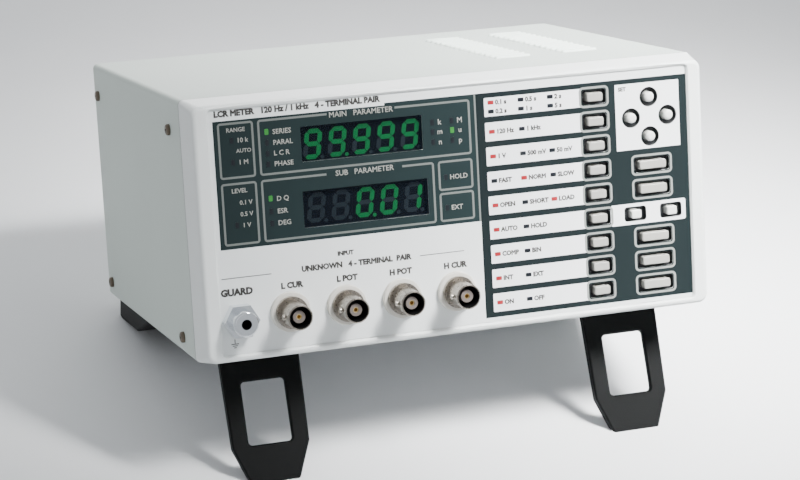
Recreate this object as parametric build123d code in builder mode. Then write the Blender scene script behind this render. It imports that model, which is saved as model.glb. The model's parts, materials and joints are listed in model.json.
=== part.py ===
from build123d import *
import os
from math import cos, radians, sin

# Bench LCR meter: a sheet-metal case with a moulded front, standing on two folded-out
# front legs and two rear feet. Millimetres.
# Every piece is drawn in the case's own frame: X to the right seen from the front,
# Y from the front face to the rear, Z up, with the case's underside at Z = 0.
# The last section turns the finished pieces together into the standing pose.

# ---- case ----
case_width = 210.0
case_height = 101.0
case_depth = 164.0
cover_wall = 1.4
cover_corner = 2.2
cover_start = 13.5
cover_lip = 12.0
half_width = case_width / 2
inner_half = half_width - cover_wall
chassis_thick = 1.5
chassis_gap = 0.1
chassis_end = 160.0
chassis_floor = cover_wall + chassis_thick
chassis_top = 94.0
rear_panel_thick = 2.0
rear_face = chassis_end + rear_panel_thick

# ---- front bezel ----
bezel_draft = 1.7
bezel_corner = 4.0
bezel_edge_round = 1.8
opening_half = 97.2
opening_bottom = 4.2
opening_top = 97.6
ledge_half = 96.0
ledge_inset = 1.2
tongue_length = 4.0
tongue_gap = 0.15
tongue_corner = 2.4
bezel_shell = 2.3
ledge_front = 5.0
ledge_back = 6.0
opening_corner = 1.5
opening_chamfer = 0.7
chassis_start = cover_start + tongue_length + 0.3

# ---- front panel, from the front backwards ----
film_face = 1.1
film_thick = 0.3
panel_face = film_face + film_thick
panel_thick = 1.6
panel_back = panel_face + panel_thick
guide_thick = 3.0
guide_back = panel_back + guide_thick
front_board_face = 14.0
board_thick = 1.6

# ---- keys ----
row_count = 9
row_pitch = 9.6
first_row_z = 88.5
row_key_x = 57.85
wide_key_x = 81.4
wide_rows = (3, 4, 6, 7, 8)
small_row = 5
small_key_x = (73.6, 88.9)
arrow_centre = (81.1, 78.6)
arrow_reach = 7.8
cap_height = 3.4
row_cap_width = 6.6
wide_cap_width = 11.4
small_cap_width = 4.2
arrow_cap_radius = 2.0
well_height = 5.8
row_well_width = 10.3
wide_well_width = 15.1
small_well_width = 9.4
arrow_well_radius = 3.9
cap_clearance = 0.3
cap_proud = 1.4
cap_front = film_face - cap_proud
cap_corner = 0.8
cap_edge_round = 0.45
arrow_dome_round = 1.2
key_travel = 1.2
flange_rim = 0.8
well_corner = 1.2
flange_thick = 1.0
stem_radius = 1.5
stem_length = 1.7
switch_gap = 0.3

# ---- displays and lamps ----
main_window_box = (-37.55, 81.5, 48.3, 13.4)
sub_window_box = (-37.3, 56.6, 50.0, 14.0)
module_face = 3.4
lamp_proud = 0.15
lamp_corner = 0.3
strip_lamp_x = (14.9, 27.3, 39.5)
first_strip_lines = 1.75
strip_lamps = ("RDD", "RD", "RDD", "DRD", "RDR", "RD", "RD", "RD", "RD")

# ---- front connectors ----
jack_z = 18.4
jack_pitch = 22.4
jack_x = [-70.1 + jack_pitch * step for step in range(4)]
jack_spots = [(x, jack_z) for x in jack_x]
barrel_radius = 4.85
barrel_front = -13.0
barrel_bore = 4.3
guard_x = -90.0
guard_z = 17.4
guard_front = -9.0
guard_bore_radius = 2.0
guard_bore_depth = 15.0

# ---- standing pose ----
tilt = 16.5
leg_lean = 16.5
leg_x = 76.2
leg_half = 16.2
leg_wall = 1.8
pivot_y = 34.55
pivot_z = -3.4
leg_front = 6.2
leg_thick = 3.4
leg_top = 1.4
leg_taper_start = 36.95
leg_taper_half = 15.5
leg_tip = 51.25
leg_tip_half = 9.8
pin_radius = 1.5
pin_clearance = 0.06
foot_height = 9.6
foot_outer = 102.5
foot_width = 30.0
foot_rear = 156.5


def front_plane(depth, x=0.0, z=0.0):
    """Sketch plane at a depth behind the front face: local X is X, local Y is Z."""
    return Plane(origin=(x, depth, z), x_dir=(1, 0, 0), z_dir=(0, -1, 0))


def side_plane(x):
    """Sketch plane across the case: local X is Y, local Y is Z."""
    return Plane.YZ.offset(x)


def row_z(row):
    return first_row_z - row_pitch * row


# Direction straight down when the meter stands, and how deep the front of a leg tip reaches.
down_y = sin(radians(tilt))
down_z = -cos(radians(tilt))
lean = radians(leg_lean)
tip_y = pivot_y - sin(lean) * leg_tip - cos(lean) * leg_front
tip_z = pivot_z - cos(lean) * leg_tip + sin(lean) * leg_front
floor_depth = tip_y * down_y + tip_z * down_z
floor_plane = Plane(
    origin=(0, floor_depth * down_y, floor_depth * down_z),
    x_dir=(1, 0, 0),
    z_dir=(0, -down_y, -down_z),
)

key_specs = {}
for row in range(row_count):
    key_specs[f"key_row_{row + 1}"] = (row_key_x, row_z(row), row_cap_width, row_well_width)
for number, row in enumerate(wide_rows):
    key_specs[f"key_wide_{number + 1}"] = (wide_key_x, row_z(row), wide_cap_width, wide_well_width)
for side, x in zip(("left", "right"), small_key_x):
    key_specs[f"key_small_{side}"] = (x, row_z(small_row), small_cap_width, small_well_width)
arrow_specs = {
    "key_up": (arrow_centre[0], arrow_centre[1] + arrow_reach),
    "key_down": (arrow_centre[0], arrow_centre[1] - arrow_reach),
    "key_left": (arrow_centre[0] - arrow_reach, arrow_centre[1]),
    "key_right": (arrow_centre[0] + arrow_reach, arrow_centre[1]),
}
key_centres = [spec[:2] for spec in key_specs.values()] + list(arrow_specs.values())

red_lamps = []
dark_lamps = [(strip_lamp_x[column], row_z(0) - first_strip_lines) for column in range(3)]
for row, states in enumerate(strip_lamps):
    lamp_z = row_z(row) + (first_strip_lines if row == 0 else 0)
    for column, state in enumerate(states):
        lamps = red_lamps if state == "R" else dark_lamps
        lamps.append((strip_lamp_x[column], lamp_z))
green_lamps = [(-74.9, 87.6), (-74.9, 62.3), (-1.3, 81.2)]
dark_lamps += [(-74.9, z) for z in (83.5, 79.4, 75.3, 57.4, 52.8)]
dark_lamps += [(-88.5, z) for z in (85.6, 77.3, 53.5)]
dark_lamps += [(-9.2, z) for z in (84.9, 81.2, 77.3)]
dark_lamps += [(-1.3, z) for z in (84.9, 77.3)]
dark_lamps += [(-4.8, z) for z in (63.2, 51.3)]
strip_lamp_size = (2.4, 1.5)
column_lamp_size = (1.5, 2.2)


def lamp_size(place):
    return strip_lamp_size if place[0] > 0 else column_lamp_size


# ================= bezel =================
with BuildPart() as front_bezel:
    with BuildSketch(front_plane(cover_start)):
        with Locations((0, case_height / 2)):
            RectangleRounded(case_width, case_height, cover_corner)
    with BuildSketch(front_plane(0)):
        with Locations((0, case_height / 2)):
            RectangleRounded(case_width - 2 * bezel_draft, case_height - 2 * bezel_draft, bezel_corner)
    loft()
    front_loop = front_bezel.faces().sort_by(Axis.Y)[0].edges()
    fillet(front_loop, bezel_edge_round)
    # tongue that slips inside the cover
    with BuildSketch(front_plane(cover_start)):
        with Locations((0, case_height / 2)):
            RectangleRounded(2 * (inner_half - tongue_gap), case_height - 2 * (cover_wall + tongue_gap),
                             tongue_corner)
    extrude(amount=-tongue_length)
    # hollow behind the ledge, then the ledge opening, then the panel opening
    with BuildSketch(front_plane(cover_start + tongue_length)):
        with Locations((0, case_height / 2)):
            RectangleRounded(2 * (inner_half - bezel_shell), case_height - 2 * (cover_wall + bezel_shell),
                             tongue_corner)
    extrude(amount=cover_start + tongue_length - ledge_front, mode=Mode.SUBTRACT)
    opening_height = opening_top - opening_bottom
    opening_centre = (0, (opening_top + opening_bottom) / 2)
    with BuildSketch(front_plane(0)):
        with Locations(opening_centre):
            RectangleRounded(2 * ledge_half, opening_height - 2 * ledge_inset, opening_corner)
    extrude(amount=-ledge_back, mode=Mode.SUBTRACT)
    with BuildSketch(front_plane(0)):
        with Locations(opening_centre):
            RectangleRounded(2 * opening_half, opening_height, opening_corner)
    extrude(amount=-panel_back, mode=Mode.SUBTRACT)
    opening_loop = front_bezel.faces().sort_by(Axis.Y)[0].inner_wires()[0].edges()
    chamfer(opening_loop, opening_chamfer)

# ================= cover =================
louvre_length = 16.0
louvre_width = 3.2
louvre_rise = 0.9
louvre_slope = 35
louvre_slot = (12.0, 1.0)
louvre_slot_back = 0.9
louvre_pitch = 6.0
louvre_count = 15
louvre_first_y = 50.0
louvre_columns = (43.5, 72.5)
cut_depth = 2.0
with BuildPart() as top_cover:
    with BuildSketch(front_plane(cover_start)):
        with Locations((0, case_height / 2)):
            RectangleRounded(case_width, case_height, cover_corner)
            RectangleRounded(2 * inner_half, case_height - 2 * cover_wall, cover_corner - cover_wall,
                             mode=Mode.SUBTRACT)
        with Locations((0, cover_wall / 2)):
            Rectangle(2 * (half_width - cover_lip), cover_wall + 1, mode=Mode.SUBTRACT)
    extrude(amount=-(case_depth - cover_start))
    # louvres pressed up out of the top: a raised hood over each slot
    louvre_spots = [(x, louvre_first_y + louvre_pitch * n) for x in louvre_columns
                    for n in range(louvre_count)]
    with BuildSketch(Plane.XY.offset(case_height)):
        with Locations(*louvre_spots):
            SlotOverall(louvre_length, louvre_width)
    extrude(amount=louvre_rise, taper=louvre_slope)
    with BuildSketch(Plane.XY.offset(case_height - cut_depth)):
        with Locations(*[(x, y + louvre_slot_back) for x, y in louvre_spots]):
            Rectangle(*louvre_slot)
    extrude(amount=2 * cut_depth, mode=Mode.SUBTRACT)

screw_side_y = (30.5, 156.5)
screw_side_z = (7.0, 88.0)
side_screw_spots = [(y, z) for y in screw_side_y for z in screw_side_z]
screw_shank = 1.45
screw_gap = 0.05
cross_recess = (2.4, 0.6)
cross_depth = 0.9
head_round = 0.8
screw_head = 2.8
screw_length = 7.0
pan_radius = 2.2
pan_height = 1.5
with BuildPart() as side_hole_cutter:
    with BuildSketch(side_plane(-half_width)):
        with Locations(*side_screw_spots):
            Circle(screw_shank + screw_gap)
    extrude(amount=case_width)


def screw_plane(side, proud, y, z):
    """Plane square to a side wall, a little proud of it, facing into the case."""
    return Plane(origin=(side * (half_width + proud), y, z), z_dir=(-side, 0, 0))


with BuildPart() as cover_screws:
    for side in (-1, 1):
        for y, z in side_screw_spots:
            with BuildSketch(screw_plane(side, pan_height, y, z)):
                Circle(pan_radius)
            extrude(amount=pan_height)
    pan_faces = cover_screws.faces().filter_by(
        lambda face: abs(face.center().X) > half_width + pan_height - 0.01)
    fillet(pan_faces.edges(), head_round)
    for side in (-1, 1):
        for y, z in side_screw_spots:
            with BuildSketch(screw_plane(side, 0, y, z)):
                Circle(screw_shank)
            extrude(amount=screw_length)
            # cross recess
            with BuildSketch(screw_plane(side, pan_height, y, z)):
                Rectangle(*cross_recess)
                Rectangle(*reversed(cross_recess))
            extrude(amount=cross_depth, mode=Mode.SUBTRACT)

# ================= chassis =================
chassis_outer = inner_half - chassis_gap
chassis_corner = 3.0
chassis_lip = 9.0
rear_flange_width = 13.0
rear_flange_height = 10.0
rear_screw_spots = [(-96.0, 14.0), (96.0, 14.0), (-96.0, 86.0), (96.0, 86.0), (-35.0, 8.0), (20.0, 8.0)]
foot_screw_y = (112.0, 140.0)
bracket_screw_y = (45.0, 55.0)
foot_screw_x = 84.0
bottom_screw_spots = [(side * foot_screw_x, y) for side in (-1, 1) for y in foot_screw_y]
bottom_screw_spots += [(side * leg_x, y) for side in (-1, 1) for y in bracket_screw_y]
with BuildPart() as bottom_chassis:
    with BuildSketch(front_plane(chassis_start)):
        with Locations((0, (chassis_top + cover_wall) / 2)):
            RectangleRounded(2 * chassis_outer, chassis_top - cover_wall, chassis_corner)
            RectangleRounded(2 * (chassis_outer - chassis_thick),
                             chassis_top - cover_wall - 2 * chassis_thick,
                             chassis_corner - chassis_thick, mode=Mode.SUBTRACT)
        with Locations((0, chassis_top)):
            Rectangle(2 * (chassis_outer - chassis_lip), 2 * cut_depth, mode=Mode.SUBTRACT)
    extrude(amount=-(chassis_end - chassis_start))
    # rear flanges behind the rear panel
    with BuildSketch(front_plane(chassis_end - chassis_thick)):
        with Locations((0, chassis_floor - 0.5 + rear_flange_height / 2)):
            Rectangle(2 * (chassis_outer - 2), rear_flange_height)
        for side in (-1, 1):
            with Locations((side * (chassis_outer - 0.5 - rear_flange_width / 2),
                            (chassis_top + chassis_floor) / 2)):
                Rectangle(rear_flange_width, chassis_top - chassis_floor - 1)
    extrude(amount=-chassis_thick)
    with BuildSketch(front_plane(chassis_end)):
        with Locations(*rear_screw_spots):
            Circle(screw_shank + screw_gap)
    extrude(amount=2 * cut_depth, mode=Mode.SUBTRACT)
    with BuildSketch(Plane.XY):
        with Locations(*bottom_screw_spots):
            Circle(screw_shank + screw_gap)
    extrude(amount=2 * cut_depth, mode=Mode.SUBTRACT)

for shell in (top_cover, bottom_chassis):
    shell.part = shell.part - side_hole_cutter.part

# ================= front panel, film and windows =================
windows = (main_window_box, sub_window_box)
panel_centre = opening_centre
panel_gap = 0.1
panel_width = 2 * (opening_half - panel_gap)
panel_height = opening_height - 2 * panel_gap
panel_corner = 1.4
bushing_neck = 5.9
guard_stud = 3.0


def cut_panel_holes():
    """Sketch every window, key well and connector hole of the front panel as a cut."""
    for x, z, width, height in windows:
        with Locations((x, z)):
            Rectangle(width, height, mode=Mode.SUBTRACT)
    for x, z, cap_width, well_width in key_specs.values():
        with Locations((x, z)):
            RectangleRounded(well_width, well_height, well_corner, mode=Mode.SUBTRACT)
    with Locations(*arrow_specs.values()):
        Circle(arrow_well_radius, mode=Mode.SUBTRACT)
    with Locations(*jack_spots):
        Circle(bushing_neck + panel_gap, mode=Mode.SUBTRACT)
    with Locations((guard_x, guard_z)):
        Circle(guard_stud + panel_gap, mode=Mode.SUBTRACT)


with BuildPart() as front_panel:
    with BuildSketch(front_plane(panel_face)):
        with Locations(panel_centre):
            RectangleRounded(panel_width, panel_height, panel_corner)
        cut_panel_holes()
    extrude(amount=-panel_thick)

with BuildPart() as panel_film:
    with BuildSketch(front_plane(film_face)):
        with Locations(panel_centre):
            RectangleRounded(panel_width, panel_height, panel_corner)
        cut_panel_holes()
        for place in red_lamps + dark_lamps + green_lamps:
            with Locations(place):
                Rectangle(*lamp_size(place), mode=Mode.SUBTRACT)
    extrude(amount=-film_thick)

with BuildPart() as display_windows:
    with BuildSketch(front_plane(film_face)):
        for x, z, width, height in windows:
            with Locations((x, z)):
                Rectangle(width - panel_gap, height - panel_gap)
    extrude(amount=-(film_thick + panel_thick))


def lamp_group(places):
    with BuildPart() as lamps:
        with BuildSketch(front_plane(film_face - lamp_proud)):
            for place in places:
                with Locations(place):
                    RectangleRounded(*lamp_size(place), lamp_corner)
        extrude(amount=-(film_thick + lamp_proud))
    return lamps


red_leds = lamp_group(red_lamps)
dark_leds = lamp_group(dark_lamps)
green_leds = lamp_group(green_lamps)

# plate behind the key field that guides every cap
guide_centre = (52.6, 50.9)
guide_size = (85.0, 88.0)
with BuildPart() as key_guide:
    with BuildSketch(front_plane(panel_back)):
        with Locations(guide_centre):
            Rectangle(*guide_size)
        for x, z, width, well_width in key_specs.values():
            with Locations((x, z)):
                RectangleRounded(width + 2 * cap_clearance, cap_height + 2 * cap_clearance,
                                 cap_corner + cap_clearance, mode=Mode.SUBTRACT)
        with Locations(*arrow_specs.values()):
            Circle(arrow_cap_radius + cap_clearance, mode=Mode.SUBTRACT)
    extrude(amount=-guide_thick)

flange_face = guide_back + cap_clearance
stem_face = flange_face + flange_thick
stem_end = stem_face + stem_length


def key_cap(x, z, width):
    """A key: the cap, a flange that keeps it behind the guide, and its stem."""
    with BuildPart() as key:
        with BuildSketch(front_plane(flange_face)):
            with Locations((x, z)):
                RectangleRounded(width, cap_height, cap_corner)
        extrude(amount=flange_face - cap_front)
        fillet(key.faces().sort_by(Axis.Y)[0].edges(), cap_edge_round)
        with BuildSketch(front_plane(flange_face)):
            with Locations((x, z)):
                RectangleRounded(width + 2 * flange_rim, cap_height + 2 * flange_rim, cap_corner)
        extrude(amount=-flange_thick)
        with BuildSketch(front_plane(stem_face)):
            with Locations((x, z)):
                Circle(stem_radius)
        extrude(amount=-stem_length)
    return key


def arrow_cap(x, z):
    """A round key with a domed cap."""
    with BuildPart() as key:
        with BuildSketch(front_plane(flange_face)):
            with Locations((x, z)):
                Circle(arrow_cap_radius)
        extrude(amount=flange_face - cap_front)
        fillet(key.faces().sort_by(Axis.Y)[0].edges(), arrow_dome_round)
        with BuildSketch(front_plane(flange_face)):
            with Locations((x, z)):
                Circle(arrow_cap_radius + flange_rim)
        extrude(amount=-flange_thick)
        with BuildSketch(front_plane(stem_face)):
            with Locations((x, z)):
                Circle(stem_radius)
        extrude(amount=-stem_length)
    return key


keys = {name: key_cap(*spec[:3]) for name, spec in key_specs.items()}
keys.update({name: arrow_cap(*spec) for name, spec in arrow_specs.items()})

# ================= front board, displays and switches =================
front_board_size = (188.0, 86.0)
front_board_z = 50.5
switch_size = 6.0
plunger_radius = 1.7
plunger_length = 0.6
board_corner = 2.0
with BuildPart() as front_board:
    with BuildSketch(front_plane(front_board_face)):
        with Locations((0, front_board_z)):
            RectangleRounded(*front_board_size, board_corner)
    extrude(amount=-board_thick)

with BuildPart() as display_modules:
    with BuildSketch(front_plane(module_face)):
        for x, z, width, height in windows:
            with Locations((x, z)):
                Rectangle(width, height)
    extrude(amount=-(front_board_face - module_face))

switch_top = stem_end + key_travel + switch_gap
with BuildPart() as key_switches:
    with BuildSketch(front_plane(front_board_face)):
        with Locations(*key_centres):
            Rectangle(switch_size, switch_size)
    extrude(amount=front_board_face - switch_top - plunger_length)
    with BuildSketch(front_plane(switch_top + plunger_length)):
        with Locations(*key_centres):
            Circle(plunger_radius)
    extrude(amount=plunger_length)

# ================= front connectors =================
shoulder_front = -0.9
shoulder_back = -2.6
shoulder_radius = 6.2
socket_floor = -4.0
thread_radius = 4.5
shell_bore = 3.0
shell_end = 9.5
lug_y = -8.6
lug_radius = 1.0
lug_reach = 5.7
insulator_front = -11.0
insulator_radius = 2.4
insulator_end = 9.0
contact_front = -10.6
contact_radius = 1.1
contact_bore = 0.68
contact_end = 11.4
bushing_radius = 7.75
with BuildPart() as bnc_shells:
    for x in jack_x:
        with BuildSketch(Plane(origin=(x, 0, jack_z), x_dir=(1, 0, 0), z_dir=(0, 0, 1))):
            with BuildLine():
                Polyline((shell_bore, shell_end), (shell_bore, socket_floor), (barrel_bore, socket_floor),
                         (barrel_bore, barrel_front), (barrel_radius - 0.3, barrel_front),
                         (barrel_radius, barrel_front + 0.3), (barrel_radius, shoulder_back),
                         (shoulder_radius, shoulder_back), (shoulder_radius, shoulder_front),
                         (thread_radius, shoulder_front), (thread_radius, shell_end), close=True)
            make_face()
        revolve(axis=Axis((x, 0, jack_z), (0, 1, 0)))
        # bayonet lugs
        with BuildSketch(side_plane(x)):
            with Locations((lug_y, jack_z)):
                Circle(lug_radius)
        extrude(amount=lug_reach, both=True)
        with BuildSketch(front_plane(socket_floor)):
            with Locations((x, jack_z)):
                Circle(barrel_bore)
        extrude(amount=socket_floor - barrel_front, mode=Mode.SUBTRACT)

with BuildPart() as bnc_insulators:
    with BuildSketch(front_plane(insulator_front)):
        with Locations(*jack_spots):
            Circle(insulator_radius)
    extrude(amount=insulator_front - socket_floor)
    with BuildSketch(front_plane(socket_floor)):
        with Locations(*jack_spots):
            Circle(shell_bore - 0.05)
    extrude(amount=socket_floor - insulator_end)
    with BuildSketch(front_plane(insulator_front)):
        with Locations(*jack_spots):
            Circle(contact_radius + 0.05)
    extrude(amount=insulator_front - insulator_end, mode=Mode.SUBTRACT)

with BuildPart() as bnc_contacts:
    with BuildSketch(front_plane(contact_front)):
        with Locations(*jack_spots):
            Circle(contact_radius)
    extrude(amount=contact_front - contact_end)
    with BuildSketch(front_plane(contact_front)):
        with Locations(*jack_spots):
            Circle(contact_bore)
    extrude(amount=-6.0, mode=Mode.SUBTRACT)

with BuildPart() as bnc_bushings:
    with BuildSketch(front_plane(film_face)):
        with Locations(*jack_spots):
            Circle(bushing_radius)
    extrude(amount=film_face - shoulder_front)
    fillet(bnc_bushings.faces().group_by(Axis.Y)[0].edges(), 0.5)
    with BuildSketch(front_plane(film_face)):
        with Locations(*jack_spots):
            Circle(bushing_neck)
    extrude(amount=-(panel_back - film_face))
    with BuildSketch(front_plane(shoulder_front)):
        with Locations(*jack_spots):
            Circle(thread_radius + panel_gap)
    extrude(amount=shoulder_front - panel_back, mode=Mode.SUBTRACT)

guard_hex = 6.0
guard_hex_length = 4.3
guard_collar = 4.9
nut_thick = 2.4
with BuildPart() as guard_socket:
    with BuildSketch(front_plane(film_face)):
        with Locations((guard_x, guard_z)):
            RegularPolygon(guard_hex, 6, major_radius=False)
    extrude(amount=guard_hex_length)
    with BuildSketch(front_plane(film_face - guard_hex_length)):
        with Locations((guard_x, guard_z)):
            Circle(guard_collar)
    extrude(amount=film_face - guard_hex_length - guard_front)
    fillet(guard_socket.faces().sort_by(Axis.Y)[0].edges(), head_round)
    with BuildSketch(front_plane(film_face)):
        with Locations((guard_x, guard_z)):
            Circle(guard_stud)
    extrude(amount=-10.0)
    with BuildSketch(front_plane(guard_front)):
        with Locations((guard_x, guard_z)):
            Circle(guard_bore_radius)
    extrude(amount=-guard_bore_depth, mode=Mode.SUBTRACT)

with BuildPart() as jack_nuts:
    with BuildSketch(front_plane(panel_back)):
        with Locations(*jack_spots):
            RegularPolygon(7.0, 6, major_radius=False)
            Circle(thread_radius + screw_gap, mode=Mode.SUBTRACT)
        with Locations((guard_x, guard_z)):
            RegularPolygon(5.0, 6, major_radius=False)
            Circle(guard_stud + screw_gap, mode=Mode.SUBTRACT)
    extrude(amount=-nut_thick)

# ================= inside the case =================
main_board_bottom = 14.0
main_board_box = (-32.0, 95.0, 124.0, 112.0)
standoff_reach = (56.0, 50.0)
capacitor_radius = 9.0
capacitor_height = 26.0
capacitor_spots = ((10, 85), (10, 108), (-14, 85))
sink_x = -50.0
sink_base = (60.0, 3.0)
sink_base_y = 132.0
sink_fin = (1.6, 12.0)
sink_fin_y = 138.0
sink_fin_pitch = 7.125
sink_height = 30.0
front_spacers = [(-92.0, 60.0), (-92.0, 86.0), (3.0, 90.0), (3.0, 38.0)]
board_x, board_y, board_length, board_width = main_board_box
with BuildPart() as main_board:
    with BuildSketch(Plane.XY.offset(main_board_bottom)):
        with Locations((board_x, board_y)):
            RectangleRounded(board_length, board_width, board_corner)
    extrude(amount=board_thick)

with BuildPart() as board_standoffs:
    with BuildSketch(Plane.XY.offset(chassis_floor)):
        with Locations((board_x, board_y)):
            with GridLocations(2 * standoff_reach[0], 2 * standoff_reach[1], 2, 2):
                RegularPolygon(3.0, 6)
    extrude(amount=main_board_bottom - chassis_floor)
    with BuildSketch(front_plane(panel_back)):
        with Locations(*front_spacers):
            RegularPolygon(2.5, 6)
    extrude(amount=-(front_board_face - panel_back))

board_top = main_board_bottom + board_thick
with BuildPart() as filter_capacitors:
    with BuildSketch(Plane.XY.offset(board_top)):
        with Locations(*capacitor_spots):
            Circle(capacitor_radius)
    extrude(amount=capacitor_height)
    fillet(filter_capacitors.faces().group_by(Axis.Z)[-1].edges(), 1.2)

with BuildPart() as heat_sink:
    with BuildSketch(Plane.XY.offset(board_top)):
        with Locations((sink_x, sink_base_y)):
            Rectangle(*sink_base)
        with Locations((sink_x, sink_fin_y)):
            with GridLocations(sink_fin_pitch, 0, 9, 1):
                Rectangle(*sink_fin)
    extrude(amount=sink_height)

core_x = 66.0
core_y = 92.0
core_size = (56.0, 24.0, 46.0)
limb_width = 18.0
winding_build = 9.3
winding_gap = 0.2
core_window = (10.0, 28.0)
core_middle = chassis_floor + core_size[2] / 2
with BuildPart() as transformer_core:
    with BuildSketch(front_plane(core_y)):
        with Locations((core_x, core_middle)):
            Rectangle(core_size[0], core_size[2])
            with GridLocations(limb_width + core_window[0], 0, 2, 1):
                Rectangle(*core_window, mode=Mode.SUBTRACT)
    extrude(amount=core_size[1] / 2, both=True)

with BuildPart() as transformer_winding:
    with BuildSketch(Plane.XY.offset(core_middle)):
        with Locations((core_x, core_y)):
            RectangleRounded(limb_width + 2 * winding_build, core_size[1] + 2 * winding_build, 5)
            Rectangle(limb_width + 2 * winding_gap, core_size[1] + 2 * winding_gap, mode=Mode.SUBTRACT)
    extrude(amount=core_window[1] / 2 - 2 * winding_gap, both=True)

# ================= rear panel and its connectors =================
inlet_x = 66.0
inlet_z = 32.0
inlet_body = (29.0, 36.0)
inlet_flange = (34.0, 41.0)
recess_centre = inlet_z - 6.0
drawer_centre = inlet_z + 11.5
switch_x = 30.0
switch_z = 32.0
switch_body = (13.0, 19.6)
connector_x = -20.0
connector_z = 30.0
connector_body = (18.0, 10.0)
jack_post_spread = 25.0
post_thread = 1.5
vent_x = -70.0
vent_z = 52.0
vent_slot = (22.0, 2.2)
cut_gap = 0.1
with BuildPart() as rear_panel:
    with BuildSketch(front_plane(chassis_end)):
        with Locations((0, case_height / 2)):
            RectangleRounded(2 * (inner_half - cut_gap), case_height - 2 * (cover_wall + cut_gap),
                             tongue_corner)
        for spot, body in (((inlet_x, inlet_z), inlet_body), ((switch_x, switch_z), switch_body),
                           ((connector_x, connector_z), connector_body)):
            with Locations(spot):
                Rectangle(body[0] + 2 * cut_gap, body[1] + 2 * cut_gap, mode=Mode.SUBTRACT)
        with Locations((connector_x, connector_z)):
            with GridLocations(jack_post_spread, 0, 2, 1):
                Circle(post_thread + cut_gap, mode=Mode.SUBTRACT)
        with Locations((vent_x, vent_z)):
            with GridLocations(5.0, 30.0, 9, 2):
                SlotOverall(*vent_slot, rotation=90, mode=Mode.SUBTRACT)
        with Locations(*rear_screw_spots):
            Circle(screw_shank + screw_gap, mode=Mode.SUBTRACT)
    extrude(amount=-rear_panel_thick)

rear_head_height = 1.7
with BuildPart() as rear_screws:
    with BuildSketch(front_plane(rear_face)):
        with Locations(*rear_screw_spots):
            Circle(screw_head)
    extrude(amount=-rear_head_height)
    fillet(rear_screws.faces().group_by(Axis.Y)[-1].edges(), head_round)
    with BuildSketch(front_plane(rear_face)):
        with Locations(*rear_screw_spots):
            Circle(screw_shank)
    extrude(amount=6.0)
    with BuildSketch(front_plane(rear_face + rear_head_height)):
        with Locations(*rear_screw_spots):
            Rectangle(*cross_recess)
            Rectangle(*reversed(cross_recess))
    extrude(amount=cross_depth, mode=Mode.SUBTRACT)

inlet_back = 136.0
inlet_lip = 2.0
recess_depth = 15.0
drawer_slot = (19.0, 7.6)
drawer_slot_depth = 22.0
pin_section = (2.0, 4.0)
pin_length = 12.5
with BuildPart() as mains_inlet:
    with BuildSketch(front_plane(rear_face)):
        with Locations((inlet_x, inlet_z)):
            RectangleRounded(*inlet_flange, 3)
    extrude(amount=-inlet_lip)
    with BuildSketch(front_plane(rear_face)):
        with Locations((inlet_x, inlet_z)):
            Rectangle(*inlet_body)
    extrude(amount=rear_face - inlet_back)
    # recess for the mains connector, with its two clipped corners
    with BuildSketch(front_plane(rear_face + inlet_lip, inlet_x, recess_centre)):
        with BuildLine():
            Polyline((-12.2, -8.2), (12.2, -8.2), (12.2, 3.4), (7.4, 8.2), (-7.4, 8.2), (-12.2, 3.4),
                     close=True)
        make_face()
    extrude(amount=recess_depth + inlet_lip, mode=Mode.SUBTRACT)
    with BuildSketch(front_plane(rear_face + inlet_lip)):
        with Locations((inlet_x, drawer_centre)):
            Rectangle(*drawer_slot)
    extrude(amount=drawer_slot_depth + inlet_lip, mode=Mode.SUBTRACT)

pin_spots = [(inlet_x - 7.0, recess_centre - 2.0), (inlet_x + 7.0, recess_centre - 2.0),
             (inlet_x, recess_centre + 2.0)]
with BuildPart() as inlet_pins:
    with BuildSketch(front_plane(rear_face - recess_depth)):
        with Locations(*pin_spots):
            RectangleRounded(*pin_section, 0.6)
    extrude(amount=-pin_length)

drawer_gap = 0.3
drawer_front = rear_face + inlet_lip + drawer_gap
drawer_front_size = (23.0, 10.0)
drawer_front_thick = 1.7
drawer_length = 23.5
with BuildPart() as fuse_drawer:
    with BuildSketch(front_plane(drawer_front)):
        with Locations((inlet_x, drawer_centre)):
            RectangleRounded(*drawer_front_size, 1.5)
    extrude(amount=-drawer_front_thick)
    with BuildSketch(front_plane(drawer_front)):
        with Locations((inlet_x, drawer_centre)):
            Rectangle(drawer_slot[0] - 2 * drawer_gap, drawer_slot[1] - 2 * drawer_gap)
    extrude(amount=drawer_length)
    # trough for the fuse, open at the top
    with BuildSketch(Plane.XY.offset(drawer_centre - 1.6)):
        with Locations((inlet_x, rear_face - 10.5)):
            Rectangle(14.0, 17.0)
    extrude(amount=8, mode=Mode.SUBTRACT)

rocker_axis_y = rear_face - 1.5
rocker_half = 4.9
rocker_height = 15.4
rocker_rest = 8.0
axle_radius = 1.0
frame_lip = 1.6
with BuildPart() as switch_frame:
    with BuildSketch(front_plane(rear_face)):
        with Locations((switch_x, switch_z)):
            RectangleRounded(switch_body[0] + 3, switch_body[1] + 3, 1.5)
    extrude(amount=-frame_lip)
    with BuildSketch(front_plane(rear_face)):
        with Locations((switch_x, switch_z)):
            Rectangle(*switch_body)
    extrude(amount=15.0)
    with BuildSketch(front_plane(rear_face + frame_lip)):
        with Locations((switch_x, switch_z)):
            Rectangle(2 * rocker_half + 0.6, rocker_height + 1.4)
    extrude(amount=11.0, mode=Mode.SUBTRACT)
    with BuildSketch(side_plane(switch_x)):
        with Locations((rocker_axis_y, switch_z)):
            Circle(axle_radius + 0.05)
    extrude(amount=6.0, both=True, mode=Mode.SUBTRACT)

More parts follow.
